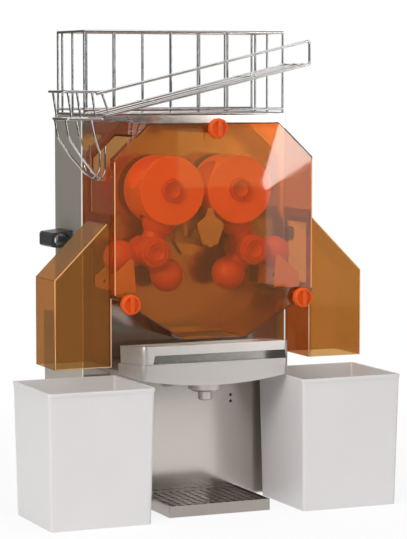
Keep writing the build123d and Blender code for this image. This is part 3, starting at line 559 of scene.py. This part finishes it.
# Pale amber rods along edges of the amber sheets, a painted highlight, given for the right side and
# mirrored to the left
CHUTE_RIM = (
    (0.1911, -0.1192, 0.386),
    (0.1911, -0.1192, 0.2668),
    (0.2936, -0.1189, 0.2668),
    (0.2936, -0.1186, 0.4204),
    (0.1983, -0.1186, 0.5151),
)
CHUTE_RIM_R = 0.0011
COVER_EDGE = ((0.18834, -0.13334, 0.393), (0.18834, -0.13334, 0.623))
COVER_EDGE_R = 0.0012
edge_amber_painted_highlight = smooth_plastic("amber_edge_painted_highlight", EDGE_AMBER_PAINTED_HIGHLIGHT, 0.25)
for side, sign in (("left", -1), ("right", 1)):
    rim = [(sign * x, y, z) for x, y, z in CHUTE_RIM]
    rod(f"chute_rim_highlight_{side}", [rim], CHUTE_RIM_R, edge_amber_painted_highlight, f"chute_{side}")
    edge = [(sign * x, y, z) for x, y, z in COVER_EDGE]
    rod(f"cover_edge_highlight_{side}", [edge], COVER_EDGE_R, edge_amber_painted_highlight, "cover")

# Stage: white floor and surroundings, a dimmer room in front, lit cards and soft lamps
FLOOR_WHITE = (0.9, 0.9, 0.9, 1)
FLOOR_ROUGH = 0.9
FLOOR_GLOW = 0.86
FLOOR_NEAR = 0.45
FLOOR_FAR = 1.3
FLOOR_REACH = 1.4
FLOOR_DROP = 0.0005
ROOM_LIGHT = 0.5
ROOM_MIRRORED = 0.12
ROOM_THROUGH_AMBER = 0.72
BACKDROP_EDGE = (0.80, 0.97)
CARD_Y = -2.5


def flat_sheet(name, corners, mat):
    mesh = bpy.data.meshes.new(name)
    mesh.from_pydata(corners, [], [range(len(corners))])
    mesh.materials.append(mat)
    sheet = bpy.data.objects.new(name, mesh)
    bpy.context.scene.collection.objects.link(sheet)
    return sheet


def floor_material():
    mat, tree, shader = new_material("white_floor")
    shader.inputs["Base Color"].default_value = FLOOR_WHITE
    shader.inputs["Roughness"].default_value = FLOOR_ROUGH
    glow = tree.nodes.new("ShaderNodeEmission")
    away = tree.nodes.new("ShaderNodeVectorMath")
    away.operation = "LENGTH"
    tree.links.new(tree.nodes.new("ShaderNodeTexCoord").outputs["Object"], away.inputs[0])
    fade = map_range(tree, away.outputs["Value"], FLOOR_NEAR, FLOOR_FAR, low=FLOOR_GLOW)
    seen = light_path(tree, "Is Camera Ray", "Is Glossy Ray", "Is Transmission Ray")
    share = maths(tree, "MULTIPLY", seen, fade)
    two_surfaces(tree, share, shader.outputs["BSDF"], glow.outputs["Emission"])
    return mat


def studio_world():
    world = bpy.data.worlds.new("studio")
    world.use_nodes = True
    tree = world.node_tree
    facing = tree.nodes.new("ShaderNodeVectorMath")
    facing.operation = "DOT_PRODUCT"
    facing.inputs[1].default_value = (sin(CAMERA_TURN), cos(CAMERA_TURN), 0)
    tree.links.new(tree.nodes.new("ShaderNodeTexCoord").outputs["Generated"], facing.inputs[0])
    through = light_path(tree, "Is Transmission Ray")
    room = blend(tree, through, ROOM_MIRRORED, ROOM_THROUGH_AMBER)
    backdrop = map_range(tree, facing.outputs["Value"], *BACKDROP_EDGE, low=room, smooth=True)
    glossy = light_path(tree, "Is Glossy Ray")
    sharp = maths(tree, "SUBTRACT", glossy, light_path(tree, "Diffuse Depth"), clamp=True)
    level = blend(tree, sharp, ROOM_LIGHT, backdrop)
    level = blend(tree, through, level, backdrop)
    level = blend(tree, light_path(tree, "Is Camera Ray"), level, 1.0)
    sky = tree.nodes["Background"]
    sky.inputs["Color"].default_value = (1, 1, 1, 1)
    tree.links.new(level, sky.inputs["Strength"])
    return world


def lamp(name, at, aim, size, power):
    light = bpy.data.lights.new(name, "AREA")
    light.shape = "RECTANGLE"
    light.size = size[0]
    light.size_y = size[1]
    light.energy = power
    holder = bpy.data.objects.new(name, light)
    holder.location = at
    holder.rotation_euler = (Vector(aim) - Vector(at)).to_track_quat("-Z", "Y").to_euler()
    holder.visible_transmission = False
    bpy.context.scene.collection.objects.link(holder)


def light_card(name, corners, strength, through_amber, colour):
    mat, tree, shader = new_material(name)
    shader.inputs["Base Color"].default_value = (0, 0, 0, 1)
    shader.inputs["Emission Color"].default_value = (*colour, 1)
    through = light_path(tree, "Is Transmission Ray")
    direct = blend(tree, through, strength, strength * through_amber)
    bounced = maths(tree, "MINIMUM", light_path(tree, "Diffuse Depth"), 1.0)
    tree.links.new(blend(tree, bounced, direct, 0.0), shader.inputs["Emission Strength"])
    card = flat_sheet(name, [(x, CARD_Y, z) for x, z in corners], mat)
    card.visible_camera = False


FLOOR_SPAN = (
    (-FLOOR_REACH, -FLOOR_REACH, 0),
    (FLOOR_REACH, -FLOOR_REACH, 0),
    (FLOOR_REACH, FLOOR_REACH, 0),
    (-FLOOR_REACH, FLOOR_REACH, 0),
)
floor = flat_sheet("floor", FLOOR_SPAN, floor_material())
floor.location.z = -FLOOR_DROP
bpy.context.scene.world = studio_world()

# Lit cards that the cover and the plate mirror: outline, strength, share through amber, colour
CARD_WHITE = (1, 1, 1)
CARD_STRAW = (0.74, 1.0, 0.52)
SOFTBOX = ((1.19, 0.459), (1.204, 0.438), (1.75, 0.753), (1.75, 1.1), (1.395, 1.1))
DIM_CARD = ((1.204, 0.16), (1.36, 0.16), (1.36, 0.52), (1.204, 0.43))
STRAW_CARD = ((0.925, 0.45), (1.184, 0.45), (1.184, 0.459), (1.236, 0.62), (0.925, 0.62))
light_card("softbox_card", SOFTBOX, 11.0, 0.4, CARD_WHITE)
light_card("dim_card", DIM_CARD, 1.8, 0.4, CARD_WHITE)
light_card("straw_card", STRAW_CARD, 0.75, 2.2, CARD_STRAW)

# A dark mat on the floor, out of the picture, mirrored in the slanting wall at the cover's lower left
MAT_SPAN = ((-0.24, -1.40), (0.18, -1.40), (0.18, -0.80), (-0.24, -0.80))
MAT_RISE = 0.001
MAT_BROWN = (0.03, 0.02, 0.015)
mat_felt = smooth_plastic("dark_mat", MAT_BROWN, 0.9)
mat_card = flat_sheet("dark_mat", [(x, y, MAT_RISE) for x, y in MAT_SPAN], mat_felt)
mat_card.visible_camera = False
mat_card.visible_diffuse = False
mat_card.visible_shadow = False

# Lamps: place, aim, size and power in watts
lamp("key_lamp", (-2.85, -2.1, 2.2), (0, 0, 0.4), (1.6, 1.6), 66)
lamp("top_lamp", (0.2, -0.6, 3.0), (0, -0.1, 0.4), (1.8, 1.4), 24)
lamp("fill_lamp", (2.1, -3.0, 0.8), (0, 0, 0.5), (1.1, 1.6), 10)

# Camera at the picture's viewing angle
forward_x = sin(CAMERA_TURN) * cos(CAMERA_DROP)
forward_y = cos(CAMERA_TURN) * cos(CAMERA_DROP)
forward = Vector((forward_x, forward_y, -sin(CAMERA_DROP)))
right = Vector((cos(CAMERA_TURN), -sin(CAMERA_TURN), 0))
upward = right.cross(forward)
lens = bpy.data.cameras.new("camera")
lens.sensor_width = SENSOR
lens.lens = FOCAL_PIXELS * SENSOR / PICTURE_LONG_SIDE
camera = bpy.data.objects.new("camera", lens)
turn = Matrix((right, upward, -forward)).transposed()
camera.matrix_world = Matrix.Translation(CAMERA_AT) @ turn.to_4x4()
bpy.context.scene.collection.objects.link(camera)
bpy.context.scene.camera = camera
bpy.context.scene.view_settings.view_transform = "Standard"
